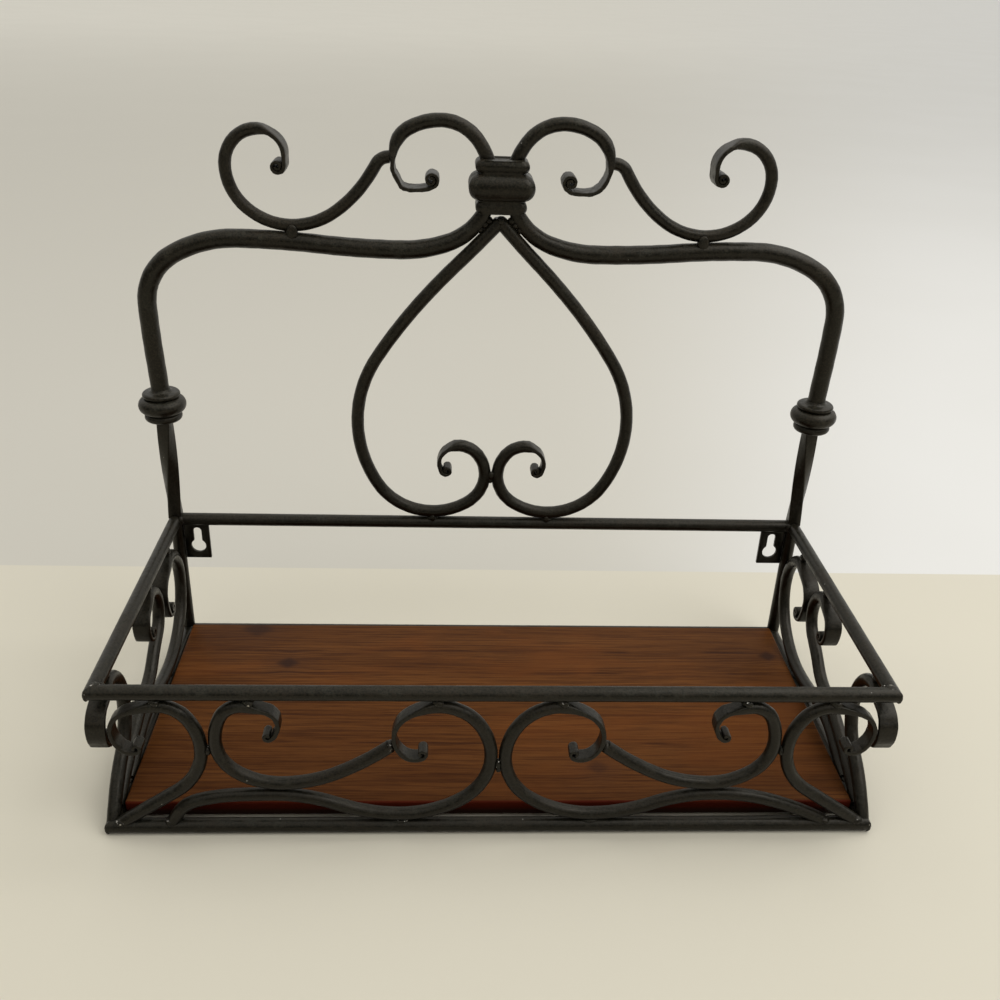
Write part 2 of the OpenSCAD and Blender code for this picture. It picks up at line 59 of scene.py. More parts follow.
class Socket:
    """An output of a shader node; arithmetic on it adds Math nodes."""

    def __init__(self, tree, out):
        self.tree = tree
        self.out = out

    def node(self, kind, settings=None, give=0, **inputs):
        """A new node of any kind, its inputs by name or as i and a number; gives one of its outputs."""
        made = self.tree.nodes.new(kind)
        for name, value in (settings or {}).items():
            setattr(made, name, value)
        for name, value in inputs.items():
            slot = made.inputs[int(name[1:])] if name[1:].isdigit() else made.inputs[name.replace("_", " ")]
            if isinstance(value, Socket):
                self.tree.links.new(value.out, slot)
            else:
                slot.default_value = value
        return Socket(self.tree, made.outputs[give])

    def other(self, name):
        """Another output of the same node."""
        return Socket(self.tree, self.out.node.outputs[name])

    def parts(self):
        """The X, Y and Z of a vector, or the three channels of a colour."""
        split = self.node("ShaderNodeSeparateXYZ", Vector=self)
        return [split.other(axis) for axis in "XYZ"]

    def math(self, operation, a, b=0.0):
        return self.node("ShaderNodeMath", {"operation": operation}, i0=a, i1=b)

    def __add__(self, other):
        return self.math("ADD", self, other)

    def __sub__(self, other):
        return self.math("SUBTRACT", self, other)

    def __mul__(self, other):
        return self.math("MULTIPLY", self, other)

    def __truediv__(self, other):
        return self.math("DIVIDE", self, other)

    def __pow__(self, other):
        return self.math("POWER", self, other)

    def __rsub__(self, other):
        return self.math("SUBTRACT", other, self)

    def __abs__(self):
        return self.math("ABSOLUTE", self)

    __radd__ = __add__
    __rmul__ = __mul__

    def between(self, low, high):
        """0 below low, 1 above high, and a soft step from one to the other."""
        return self.node("ShaderNodeMapRange", {"interpolation_type": "SMOOTHSTEP"},
                         Value=self, From_Min=low, From_Max=high)

    def blend(self, first, second):
        """A colour from first to second as this value goes from 0 to 1."""
        return self.node("ShaderNodeMix", {"data_type": "RGBA"}, give=2, i0=self, i6=first, i7=second)


def new_material(name):
    """A material with one Principled shader; gives the material, the shader and its Object coordinates."""
    material = bpy.data.materials.new(name)
    material.use_nodes = True
    tree = material.node_tree
    place = Socket(tree, tree.nodes.new("ShaderNodeTexCoord").outputs["Object"])
    return material, tree.nodes["Principled BSDF"], place


def join(value, shader, name):
    value.tree.links.new(value.out, shader.inputs[name])


def emboss(height, shader, strength, distance):
    join(height.node("ShaderNodeBump", Height=height, Strength=strength, Distance=distance), shader, "Normal")


def noise(place, scale, detail=2.0, roughness=0.5):
    return place.node("ShaderNodeTexNoise", Vector=place, Scale=scale, Detail=detail, Roughness=roughness)


def rare_specks(place, scale, size, share):
    """1 on a few small round specks: a share of the cells has one, and size is against the cell."""
    cells = place.node("ShaderNodeTexVoronoi", Vector=place, Scale=scale, give="Distance")
    near = 1 - cells.between(size * 0.6, size)
    lot = cells.other("Color").parts()[0]
    return near * lot.between(1 - share, 1 - share * 0.9)


def dark_paint():
    """Sprayed satin paint over hand-worked bar: brown and grey patches, a few specks and hammer dents.
    What faces up is painted lighter with more patches and bloom, a painted highlight; what faces down stays
    near black, a painted shade; bars low down are painted darker, a painted shade too."""
    material, shader, place = new_material("bronze_black_paint")
    patches = noise(place, 34, 5, 0.62).between(0.46, 0.62)
    bloom = noise(place, 150, 6, 0.7).between(0.5, 0.64)
    specks = rare_specks(place, 200, 0.085, 0.07)
    grain = noise(place, 950, 4, 0.7)
    # painted highlight and shade: 1 on what faces up, 0 on what faces down
    top = place.node("ShaderNodeNewGeometry", give="Normal").parts()[2].between(-0.25, 0.9)
    # painted shade: 1 on bars below about 0.2 m, which are darkened
    low = 1 - place.parts()[2].between(0.04, 0.2)
    dents = noise(place, 170, 4, 0.6)
    # painted highlight: upward faces are lightened, and patches and bloom show more on them; downward faces
    # keep the near-black painted shade
    colour = (top * 0.6).blend(bronze_black, painted_highlight_top)
    colour = (patches * (0.15 + top * 0.4)).blend(colour, worn_brown)
    colour = (bloom * (0.15 + top * 0.55)).blend(colour, grey_bloom)
    colour = (grain.between(0.5, 0.58) * (0.25 + top * 0.35)).blend(colour, worn_brown)
    colour = ((1 - grain.between(0.42, 0.49)) * 0.75).blend(colour, bronze_black)
    # painted shade: bars low down are darkened towards bronze black
    colour = (low * 0.45).blend(colour, bronze_black)
    colour = (specks * 0.6).blend(colour, bare_speck)
    join(colour, shader, "Base Color")
    join(0.24 + 0.12 * patches + 0.2 * bloom + 0.1 * grain, shader, "Roughness")
    emboss(grain * 0.16 + dents, shader, 0.5, 0.7 * mm)
    shader.inputs["Specular IOR Level"].default_value = 0.27
    shader.inputs["Specular Tint"].default_value = (1, 0.94, 0.83, 1)
    return material


paint = dark_paint()


def start(name):
    """A new empty piece at the origin, in edit mode, ready for its first primitive."""
    if bpy.context.object and bpy.context.object.mode == "EDIT":
        bpy.ops.object.mode_set(mode="OBJECT")
    bpy.ops.object.select_all(action="DESELECT")
    piece = bpy.data.objects.new(name, bpy.data.meshes.new(name))
    bpy.context.collection.objects.link(piece)
    bpy.context.view_layer.objects.active = piece
    piece.select_set(True)
    bpy.ops.object.mode_set(mode="EDIT")
    return piece


def turn_outwards():
    bpy.ops.mesh.select_all(action="SELECT")
    bpy.ops.mesh.normals_make_consistent(inside=False)


def finish(piece, material, node, crisp=35):
    """Leaves edit mode, smooths what is round, and puts the piece in place of its node."""
    if piece.mode == "EDIT":
        bpy.ops.object.mode_set(mode="OBJECT")
    bpy.ops.object.select_all(action="DESELECT")
    bpy.context.view_layer.objects.active = piece
    piece.select_set(True)
    bpy.ops.object.shade_smooth_by_angle(angle=math.radians(crisp))
    piece.data.materials.clear()
    piece.data.materials.append(material)
    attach(piece, "root")
    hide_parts(node)


def pair(piece, node, form="bar"):
    """Finishes a right-hand piece, and then its left-hand twin: a copy with its own mesh,
    turned over about the middle of the shelf."""
    finish(piece, paint, f"{node}_right")
    twin = bpy.data.objects.new(f"{node}_left_{form}", piece.data.copy())
    bpy.context.collection.objects.link(twin)
    bpy.ops.object.select_all(action="DESELECT")
    bpy.context.view_layer.objects.active = twin
    twin.select_set(True)
    bpy.ops.object.mode_set(mode="EDIT")
    bpy.ops.mesh.select_all(action="SELECT")
    bpy.ops.transform.resize(value=(-1, 1, 1), center_override=(0, 0, 0))
    turn_outwards()
    finish(twin, paint, f"{node}_left")


def straight_bar(low, high, radius):
    """Round bar from one point to another in the piece that is being edited."""
    run = Vector(high) - Vector(low)
    bpy.ops.mesh.primitive_circle_add(vertices=bar_sides, radius=radius, fill_type="NGON", location=low,
                                      rotation=run.to_track_quat("Z", "Y").to_euler())
    bpy.ops.mesh.extrude_region_move(TRANSFORM_OT_translate={"value": run})
    turn_outwards()


def cut_off(at, towards):
    """Cuts the piece that is being edited through a point and closes the cut; what lies towards goes."""
    bpy.ops.mesh.select_all(action="SELECT")
    bpy.ops.mesh.bisect(plane_co=at, plane_no=towards, use_fill=True, clear_outer=True)


def centre(node):
    low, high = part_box(node)
    return (low + high) / 2


base_front = centre("base_rail_front")
rim_front = centre("rim_rail_front")
rim_back = centre("rim_rail_back")
side_x = centre("rim_rail_right").x
back_y = rim_back.y
rim_z = rim_back.z
base_z = base_front.z
rail_r = base_z
spare = 12 * mm
ground_off = 1.1 * mm


def ring_of_rails(level, front_y, z):
    """Front, rear and side rails of one height, mitred at the four corners, with the points ground blunt."""
    blunt = rail_r - ground_off
    for where, y, inward in (("front", front_y, 1), ("back", back_y, -1)):
        node = f"{level}_rail_{where}"
        piece = start(f"{node}_bar")
        straight_bar((-side_x - spare, y, z), (side_x + spare, y, z), rail_r)
        for side in (-1, 1):
            cut_off((side * side_x, y, z), (side, inward, 0))
            cut_off((side * (side_x + blunt), y - inward * blunt, z), (side, -inward, 0))
        finish(piece, paint, node)
    piece = start(f"{level}_rail_right_bar")
    straight_bar((side_x, front_y - spare, z), (side_x, back_y + spare, z), rail_r)
    for y, outward in ((front_y, -1), (back_y, 1)):
        cut_off((side_x, y, z), (-1, outward, 0))
        cut_off((side_x + blunt, y + outward * blunt, z), (1, outward, 0))
    pair(piece, f"{level}_rail")


ring_of_rails("base", base_front.y, base_z)

# Back posts: two short round bars that stand on the rear corners of the base
# and carry the rim; their ends are welded to the rails above and below.
post = start("back_post_right_bar")
straight_bar((side_x, back_y, base_z), (side_x, back_y, rim_z), rail_r)
pair(post, "back_post")

# Rim rails: the upper ring of the tray, of the same 8 mm bar and mitred in the same way.
# Its front rail stands a little behind the base rail, so the tray's front leans back.
ring_of_rails("rim", rim_front.y, rim_z)

# Board: one plank of softwood, stained reddish brown and given a satin coat.
# It lies between the side rails, with a gap of a few millimetres behind the front rail.
board_low, board_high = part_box("board")
board_edge = 1.2 * mm
stain = (0.068, 0.0222, 0.0052, 1)
stain_light = (0.15, 0.056, 0.0145, 1)
# dark stain for the grain lines and pores; also used as painted shade towards the front of the board
dark_stain_and_shade = (0.028, 0.0088, 0.0042, 1)
stain_red = (0.07, 0.0075, 0.003, 1)
stain_orange = (0.16, 0.047, 0.009, 1)
# painted shade along the foot of the front edge, where the gap above the base rail lies in shade
painted_edge_shade = (0.012, 0.0035, 0.002, 1)
knot_haze = (0.062, 0.027, 0.0145, 1)
knot_brown = (0.03, 0.0135, 0.009, 1)
grain_drift = 12 * mm
# x, y and size in mm, and how dark
knots = ((-129, 38, 5.5, 0.85), (-154, 76, 8, 0.7), (188, 48, 5, 0.85), (60, -60, 5, 0.5))
# y and width in mm of the darker lines of grain
grain_lines = ((51.5, 1.5), (27.5, 1.2), (-38, 1.3), (-14, 0.9))


def wood_noise(place, along, across, detail, roughness=0.5):
    """Noise that is drawn out along X, with one scale along the grain and another across it."""
    drawn = place.node("ShaderNodeMapping", Vector=place, Scale=(along, across, across))
    return noise(drawn, 1, detail, roughness)


def stained_wood():
    """Flat-sawn plank: long fine grain along X that runs round a few soft knots, worn orange in places;
    it is darker to the front, a painted shade, and the front edge is red with a painted shade along its foot."""
    material, shader, place = new_material("stained_wood")
    x, y, z = place.parts()
    across = y + wood_noise(place, 3, 10, 2) * grain_drift
    knotted = 0
    haze = 0
    for knot_x, knot_y, size, depth in knots:
        away_x = (x - knot_x * mm) / (size * 1.3 * mm)
        away_y = (y - knot_y * mm) / (size * mm)
        away = abs(away_x) ** 1.3 + abs(away_y) ** 1.3
        knotted = knotted + (1 - away.between(0.3, 1.5)) * depth
        haze = haze + (1 - away.between(0.8, 6)) * 0.5
        across = across + away_y * (1 - away.between(0.5, 5)) * 0.0009
    along = place.node("ShaderNodeCombineXYZ", X=x, Y=across, Z=z)
    bands = wood_noise(along, 6, 70, 3, 0.6)
    streaks = wood_noise(along, 14, 620, 4, 0.7)
    pores = wood_noise(along, 60, 2300, 2)
    breaks = wood_noise(along, 30, 200, 3).between(0.4, 0.58)
    lines = 0
    for line_y, width in grain_lines:
        off = (across - (line_y * mm + grain_drift / 2)) / (width * mm)
        lines = lines + (1 - abs(off).between(0.1, 1.2)) * breaks
    worn = wood_noise(place, 9, 22, 3, 0.6)
    colour = (bands.between(0.3, 0.7) * 0.45 + streaks.between(0.36, 0.64) * 0.45).blend(stain, stain_light)
    colour = ((1 - streaks.between(0.42, 0.49)) * 0.3).blend(colour, dark_stain_and_shade)
    colour = (pores.between(0.52, 0.66) * 0.35).blend(colour, dark_stain_and_shade)
    colour = (lines * 0.7).blend(colour, dark_stain_and_shade)
    colour = (worn.between(0.5, 0.68) * 0.35).blend(colour, stain_orange)
    # painted shade: the front 95 mm of the board is darkened, where the rim rail shades it
    colour = ((1 - y.between(board_low.y, board_low.y + 95 * mm)) * 0.22).blend(colour, dark_stain_and_shade)
    colour = (haze * 0.5).blend(colour, knot_haze)
    colour = knotted.blend(colour, knot_brown)
    # painted shade: the lower part of the front edge is nearly black, over the shaded gap above the base rail
    front = 1 - y.between(board_low.y + 0.5 * mm, board_low.y + 1.6 * mm)
    edge = z.between(board_low.z + 2.5 * mm, board_low.z + 6 * mm).blend(painted_edge_shade, stain_red)
    colour = (front * 0.9).blend(colour, edge)
    join(colour, shader, "Base Color")
    join(0.42 + streaks * 0.18, shader, "Roughness")
    emboss(streaks * 0.5 + pores * 0.6 - lines * 0.5, shader, 0.25, 0.3 * mm)
    shader.inputs["Specular IOR Level"].default_value = 0.04
    return material


board = start("board_plank")
bpy.ops.mesh.primitive_cube_add(size=1, location=(board_low + board_high) / 2, scale=board_high - board_low)
bpy.ops.mesh.bevel(offset=board_edge, segments=3, affect="EDGES")
turn_outwards()
finish(board, stained_wood(), "board")

# Front scrolls: six bars of 7 mm bar, bent round a jig, one end of each hammered to a flat strip
# and rolled up; they are welded between the base rail and the rim in the leaning front.
# Sizes and turning points of bars are in mm and degrees.
front_bar = 7
front_strip = 8.5
front_roll = 7
small_roll = 6.3
strip_t = 2.5
rolled_t = 1.9
roll_gap = 0.2
roll_eye = 0.8
least_turns = 0.8
steps_in_turn = 36
stop_gap = 1.8
stop_turn = 5
nearly_straight = 0.05
round_section = 2
mostly_flat = 5
flat_section = 7
hammer_marks = 0.07
unevenness = 0.012
lean = math.atan2(rim_front.y - base_front.y, rim_z - base_z)


def heading(turn):
    return np.array((math.cos(math.radians(turn)), math.sin(math.radians(turn))))


def arc(low, turn, high):
    """Arc from a point with a heading to another point; gives its end heading and its stops
    [out, up, heading, share of the arc]."""
    chord = np.subtract(high, low)
    half = math.degrees(math.atan2(chord[1], chord[0])) - turn
    half -= 360 * round(half / 360)
    run = float(np.hypot(*chord))
    count = max(2, math.ceil(run / stop_gap), math.ceil(2 * abs(half) / stop_turn))
    line = []
    for k in range(count):
        t = k / count
        reach = run * t
        if abs(half) > nearly_straight:
            reach = run * math.sin(math.radians(half * t)) / math.sin(math.radians(half))
        line.append((*(np.array(low) + reach * heading(turn + half * t)), turn + 2 * half * t, t))
    return turn + 2 * half, line


def bend(way):
    """Stops [out, up, heading, link] through the turning points, by two arcs from each point to the next,
    and the number of arcs; link counts along them."""
    line = []
    link = 0
    for low, high in zip(way, way[1:]):
        near, far = np.array(low[:2]), np.array(high[:2])
        leaving, arriving = heading(low[2]), heading(high[2])
        run = far - near
        a = 2 * (1 - leaving @ arriving)
        b = run @ (leaving + arriving)
        if a < 1e-6:
            reach = (run @ run) / (4 * (run @ arriving))
        else:
            reach = (math.sqrt(b * b + a * (run @ run)) - b) / a
        meeting = (near + far + reach * (leaving - arriving)) / 2
        turn, first = arc(near, low[2], meeting)
        for stops in (first, arc(meeting, turn, far)[1]):
            line += [(x, y, h, link + t) for x, y, h, t in stops]
            link += 1
    return line, link


def on_circle(hub, r, spin, turn):
    """Where a bar that runs round the hub has this heading."""
    a = math.radians(turn)
    return hub[0] + spin * r * math.sin(a), hub[1] - spin * r * math.cos(a)


def roll_up(line, link, hub, entry, r, spin):
    """Adds the roll that ends a strip: a tight spiral from the radius r in to a small eye."""
    turns = max((r - roll_eye) / (rolled_t + roll_gap), least_turns)
    steps = math.ceil(turns * steps_in_turn)
    for k in range(steps + 1):
        t = k / steps
        turn = entry + spin * 360 * turns * t
        line.append((*on_circle(hub, r - (r - roll_eye) * t, spin, turn), turn, link + 1 + t))


def section_at(sections, place):
    """Half thickness, half width and squareness at a place along the bar, eased between the given ones."""
    places, sizes = sections[:, 0], sections[:, 1:]
    k = min(max(np.searchsorted(places, place, side="right") - 1, 0), len(places) - 2)
    t = min(max((place - places[k]) / (places[k + 1] - places[k]), 0), 1)
    t = t * t * (3 - 2 * t)
    return sizes[k] + t * (sizes[k + 1] - sizes[k])


def squared(part, power):
    return np.sign(part) * np.abs(part) ** power


def select_rising_edges(piece, least):
    """Selects the edges of the piece that is being edited that rise by more than the least."""
    bpy.ops.mesh.select_mode(type="EDGE")
    bpy.ops.mesh.select_all(action="DESELECT")
    for edge in bmesh.from_edit_mesh(piece.data).edges:
        if abs(edge.verts[0].co.z - edge.verts[1].co.z) > least:
            edge.select_set(True)


def forge(name, line, sections, stand):
    """Round bar stock, cut into even rings, then bent along the stops and hammered to its sections."""
    piece = start(name)
    count = len(line)
    straight_bar((0, 0, 0), (0, 0, (count - 1) * mm), mm)
    select_rising_edges(piece, mm / 2)
    bpy.ops.mesh.subdivide(number_cuts=count - 2)
    bpy.ops.mesh.select_mode(type="VERT")
    bpy.ops.object.mode_set(mode="OBJECT")
    stock = np.zeros(len(piece.data.vertices) * 3, np.float32)
    piece.data.vertices.foreach_get("co", stock)
    stock = stock.reshape(-1, 3)
    ring = np.clip(np.rint(stock[:, 2] / mm).astype(int), 0, count - 1)
    angle = np.arctan2(stock[:, 1], stock[:, 0])
    stops = np.array(line)[ring]
    sections = np.array(sections, float)
    half_t, half_w, squareness = np.array([section_at(sections, stop[3]) for stop in line])[ring].T
    ripple = np.where(squareness > mostly_flat, hammer_marks * np.cos(math.pi * ring),
                      unevenness * np.sin(0.9 * ring))
    thick = half_t * (1 + ripple) * squared(np.cos(angle), 2 / squareness)
    wide = half_w * (1 + unevenness * np.sin(0.37 * ring + 1)) * squared(np.sin(angle), 2 / squareness)
    turn = np.radians(stops[:, 2])
    out = stops[:, 0] - thick * np.sin(turn)
    up = stops[:, 1] + thick * np.cos(turn)
    placed = np.stack(stand(out * mm, up * mm, wide * mm), 1).astype(np.float32)
    piece.data.vertices.foreach_set("co", placed.ravel())
    piece.data.update()
    bpy.ops.object.mode_set(mode="EDIT")
    turn_outwards()
    return piece


def scroll(name, way, bar, flat_from, strip, roll, hub, entry, stand, lead=0.6):
    """A bar bent through the way, hammered flat after one turning point, and rolled up about a hub, from the
    heading of entry on. Its other end has a rounded tip that reaches back by the lead, into its weld."""
    half = bar / 2
    r = (roll - rolled_t) / 2
    spin = 1 if entry > way[-1][2] else -1
    line, link = bend(way + [(*on_circle(hub, r, spin, entry), entry)])
    roll_up(line, link, hub, entry, r, spin)
    foot_x, foot_z, foot_turn = way[0]
    back = heading(foot_turn)
    tip = [(foot_x - lead * (1 - t) * back[0], foot_z - lead * (1 - t) * back[1], foot_turn, t - 1)
           for t in (0, 0.04, 0.1, 0.2, 0.4, 0.7)]
    return forge(name, tip + line, [
        (-1, half * 0.72, half * 0.72, round_section),
        (-0.8, half, half, round_section),
        (2 * flat_from - 0.2, half, half, round_section),
        (2 * flat_from + 0.9, strip_t / 2, strip / 2, flat_section),
        (link - 0.3, strip_t / 2, strip / 2, flat_section),
        (link + 1, rolled_t / 2, strip / 2, flat_section),
    ], stand)


def in_front(out, up, wide):
    """Stands a flat drawing up in the leaning front."""
    rise = up - base_z
    return (out, base_front.y - wide * math.cos(lean) + rise * math.sin(lean),
            base_z + wide * math.sin(lean) + rise * math.cos(lean))


def in_left_front(out, up, wide):
    x, y, z = in_front(out, up, wide)
    return -x, y, z


right_foot = [(179, 7, 150)]
left_foot = [(171, 7.5, 118), (164.2, 17.4, 138), (155, 21.8, 165)]
large_circle = [(117.7, 25.2, 180), (51.1, 11.7, 180), (3.7, 50, 90), (31.8, 82.2, 0), (54.1, 64, -90)]
finish(scroll("front_large_scroll_right_bar", right_foot + large_circle, front_bar, 4, front_strip,
              front_roll, (39.7, 54), -215, in_front), paint, "front_large_scroll_right")
finish(scroll("front_large_scroll_left_bar", left_foot + large_circle, front_bar, 6, front_strip,
              front_roll, (39.7, 54), -215, in_left_front), paint, "front_large_scroll_left")
small_way = [(57.8, 55.4, -38), (113.2, 32.5, 0), (145.2, 59.4, 90), (130, 82.2, 180), (112.4, 72, 270)]
pair(scroll("front_small_scroll_right_bar", small_way, front_bar, 3, front_strip,
            small_roll, (118, 65), 330, in_front, lead=2.8), "front_small_scroll")
corner_way = [(197, 7, 145), (152.6, 55.7, 90), (173, 82.2, 0), (196, 67.8, -90)]
pair(scroll("front_corner_scroll_right_bar", corner_way, front_bar, 2, front_strip,
            front_roll, (184.5, 57.7), -200, in_front), "front_corner_scroll")

# Side scrolls: three on each side of the tray, of 7.4 mm bar with wider hammered ends.
# The rear one is welded to the post, the others to the side rails; the corner one curls out past the front.
side_bar = 7.4
side_strip = 10
side_roll = 8.6


def in_right_side(out, up, wide):
    """Stands a flat drawing up in the plane of the right side, with its first axis forward."""
    return side_x - wide, back_y - out, up


rear_way = [(150, 7.3, 160), (108, 19, 180), (55, 13.5, 180), (8, 52, 90), (30.5, 77.5, 0), (55, 64, -90)]
pair(scroll("side_rear_scroll_right_bar", rear_way, side_bar, 4, side_strip,
            side_roll, (45, 51), -200, in_right_side), "side_rear_scroll")
middle_way = [(171, 7.3, 150), (120, 29, 163), (86, 38, 143), (60.1, 63, 90), (76, 80, 0), (95, 69, -90)]
pair(scroll("side_middle_scroll_right_bar", middle_way, side_bar, 4, side_strip,
            side_roll, (87.5, 61.5), -190, in_right_side), "side_middle_scroll")
corner_way = [(180.5, 6, 125), (140, 55, 90), (160, 80, 0), (184, 67, -90)]
pair(scroll("side_corner_scroll_right_bar", corner_way, side_bar, 2, side_strip,
            side_roll, (175, 58.5), -190, in_right_side, lead=2.4), "side_corner_scroll")

# Hanger plates: two small steel plates, each with a keyhole, welded in the corner
# between the rear post and the rear rim rail; the shelf hangs on two screws.
plate_low, plate_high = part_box("hanger_plate_right")
keyhole_x = 190.5 * mm
keyhole_z = 70 * mm
keyhole_r = 4.7 * mm
slot_r = 2.6 * mm
slot_top = keyhole_z + 13.5 * mm - slot_r
keyhole_sides = 40
worn_edge = 0.25 * mm


def keyhole_cutter():
    """The shape of the keyhole as a solid: a round part with a rounded slot above it."""
    cutter = start("keyhole_cutter")
    deep = plate_high.y - plate_low.y + 2 * spare
    y = plate_high.y + spare - deep / 2
    for z, r in ((keyhole_z, keyhole_r), (slot_top, slot_r)):
        bpy.ops.mesh.primitive_cylinder_add(vertices=keyhole_sides, radius=r, depth=deep,
                                            location=(keyhole_x, y, z), rotation=(math.pi / 2, 0, 0))
    bpy.ops.mesh.primitive_cube_add(size=1, location=(keyhole_x, y, (keyhole_z + slot_top) / 2),
                                    scale=(2 * slot_r, deep, slot_top - keyhole_z))
    bpy.ops.object.mode_set(mode="OBJECT")
    return cutter


cutter = keyhole_cutter()
plate = start("hanger_plate_right_plate")
bpy.ops.mesh.primitive_cube_add(size=1, location=(plate_low + plate_high) / 2, scale=plate_high - plate_low)
bpy.ops.object.mode_set(mode="OBJECT")
hole = plate.modifiers.new("keyhole", "BOOLEAN")
hole.operation = "DIFFERENCE"
hole.object = cutter
hole.solver = "EXACT"
hole.use_self = True
bpy.ops.object.modifier_apply(modifier="keyhole")
edges = plate.modifiers.new("worn_edges", "BEVEL")
edges.width = worn_edge
edges.segments = 2
edges.angle_limit = math.radians(50)
bpy.ops.object.modifier_apply(modifier="worn_edges")
bpy.data.objects.remove(cutter)
pair(plate, "hanger_plate", "plate")

# Twisted uprights: 8 mm square bar, given a quarter turn while hot, that stands
# on each rear corner of the rim and is welded into the side collar above.
collar_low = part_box("side_collar_right")[0]
twist_bar = 8 * mm
twist_edge = 0.8 * mm
twist_cuts = 40
foot = rim_z + rail_r * 0.55
top = collar_low.z + 2 * mm
upright = start("twisted_upright_right_bar")
bpy.ops.mesh.primitive_cube_add(size=1, location=(side_x, back_y, (foot + top) / 2),
                                scale=(twist_bar, twist_bar, top - foot))
select_rising_edges(upright, twist_bar / 2)
bpy.ops.mesh.bevel(offset=twist_edge, segments=3, affect="EDGES")
select_rising_edges(upright, twist_bar / 2)
bpy.ops.mesh.subdivide(number_cuts=twist_cuts)
bpy.ops.mesh.select_mode(type="VERT")
mesh = bmesh.from_edit_mesh(upright.data)
for vert in mesh.verts:
    turn = -math.pi / 2 * (vert.co.z - foot) / (top - foot)
    away = Vector((vert.co.x - side_x, vert.co.y - back_y))
    vert.co.x = side_x + away.x * math.cos(turn) - away.y * math.sin(turn)
    vert.co.y = back_y + away.x * math.sin(turn) + away.y * math.cos(turn)
turn_outwards()
pair(upright, "twisted_upright")

# Side collars: cast collars with a plump round band between two flanges. The twisted bar
# is welded under each, and the arch bar stands in the top with a thin line of weld round it.
flange_r = 11.25
band_r = 14.25
lathe_sides = 64


def turned(name, at, profile):
    """Lathe work: a circle, drawn up and widened from one point of the profile to the next and closed
    at both ends; a point is a radius and a height in mm."""
    piece = start(name)
    r, z = profile[0]
    bpy.ops.mesh.primitive_circle_add(vertices=lathe_sides, radius=r * mm, fill_type="NGON",
                                      location=(at[0], at[1], at[2] + z * mm))
    for next_r, next_z in profile[1:]:
        bpy.ops.mesh.extrude_region_move(TRANSFORM_OT_translate={"value": (0, 0, (next_z - z) * mm)})
        bpy.ops.transform.resize(value=(next_r / r, next_r / r, 1), center_override=(at[0], at[1], 0))
        r, z = next_r, next_z
    turn_outwards()
    return piece


def rounded(r, low, high, bulge, steps):
    """Profile of a band whose edge is a half round of the given reach."""
    middle = (low + high) / 2
    half = (high - low) / 2
    return [(r + bulge * math.cos(math.radians(a)), middle + half * math.sin(math.radians(a)))
            for a in np.linspace(-90, 90, steps + 1)]


side_profile = ([(6.0, 0.3), (flange_r - 2.6, 0)] + rounded(flange_r - 2.2, 0.1, 5, 2.2, 8)
                + rounded(band_r - 5, 5.05, 14.95, 5, 14)
                + rounded(flange_r - 1.6, 15, 18.3, 1.6, 8)
                + [(7.4, 18.4), (6.6, 18.7), (6.0, 19.3), (5.5, 20.4)])
pair(turned("side_collar_right_collar", (side_x, back_y, collar_low.z), side_profile), "side_collar")

# Arch: two 10.8 mm bars that stand in the side collars, bend inwards at the shoulders,
# and thin down as they dip and rise together into the centre collar.
arch_bar = 10.8
arch_tip = 6.6


def in_back(out, up, wide):
    """Stands a flat drawing up in the plane of the back, measured from the rear rim rail."""
    return out, back_y - wide, rim_z + up


arch_way = [(side_x / mm, 72, 90), (204.8, 142, 90), (150, 182.7, 180), (57, 178.5, 180),
            (9.3, 201, 118), (6.5, 213, 95)]
arch_line, arch_links = bend(arch_way)
pair(forge("arch_right_bar", arch_line + [(*arch_way[-1], arch_links)], [
    (0, arch_bar / 2, arch_bar / 2, round_section),
    (6, arch_bar / 2, arch_bar / 2, round_section),
    (10, arch_tip / 2, arch_tip / 2, round_section)], in_back), "arch")

# Heart: two 7.8 mm bars that meet in a point under the centre collar, rest on the rear rim rail,
# touch again in the middle, and end in rolled strips that turn outwards.
heart_bar = 7.8
heart_strip = 10
heart_roll = 7.6
heart_joint = 0.05 * mm
heart_top = rim_z + 198.3 * mm
heart_way = [(1.5, 194.6, -48), (44, 149.6, -49), (84.3, 70, -90), (37.5, 8.1, -180),
             (4, 35, -270), (21.5, 55.3, -360), (33.4, 44, -450)]
heart = scroll("heart_right_bar", heart_way, heart_bar, 5, heart_strip,
               heart_roll, (28.5, 39.1), -545, in_back, lead=9)
cut_off((heart_joint, 0, 0), (-1, 0, 0))
cut_off((0, 0, heart_top), (0, 0, 1))
turn_outwards()
pair(heart, "heart")

# Centre collar: a cast collar, flat in front with chamfered corners, that ties the arch and the crown
# above it together. It has a low flange, a plump band and an upper flange, and the bars are welded into it.
tie_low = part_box("centre_collar")[0]
tie_half_flat = 5.5 * mm
tie_chamfer = 0.26
tie_end_r = 6.2
tie_least_deep = 8.6
tie_profile = ([(5.5, 0.7), (6.9, 0.2)] + rounded(6.9, 0.4, 6.9, 2.2, 8)
               + rounded(6.9, 7.3, 22.1, 6.3, 16)
               + rounded(6.9, 22.5, 29.4, 2.8, 8)
               + [(5.6, 29.7), (5.1, 28.9)])
tie = turned("centre_collar_collar", (0, back_y, tie_low.z), tie_profile)
mesh = bmesh.from_edit_mesh(tie.data)
for vert in mesh.verts:
    away = Vector((vert.co.x, vert.co.y - back_y))
    across, deep = abs(away.x), abs(away.y)
    r = away.length / mm
    away *= away.length / max(across, deep, (across + deep) / (2 - tie_chamfer))
    if tie_end_r < r < tie_least_deep:
        away.y *= tie_least_deep / r
    if abs(away.x) > 0.01 * mm:
        away.x += math.copysign(tie_half_flat, away.x)
    vert.co.x, vert.co.y = away.x, back_y + away.y
turn_outwards()
finish(tie, paint, "centre_collar")

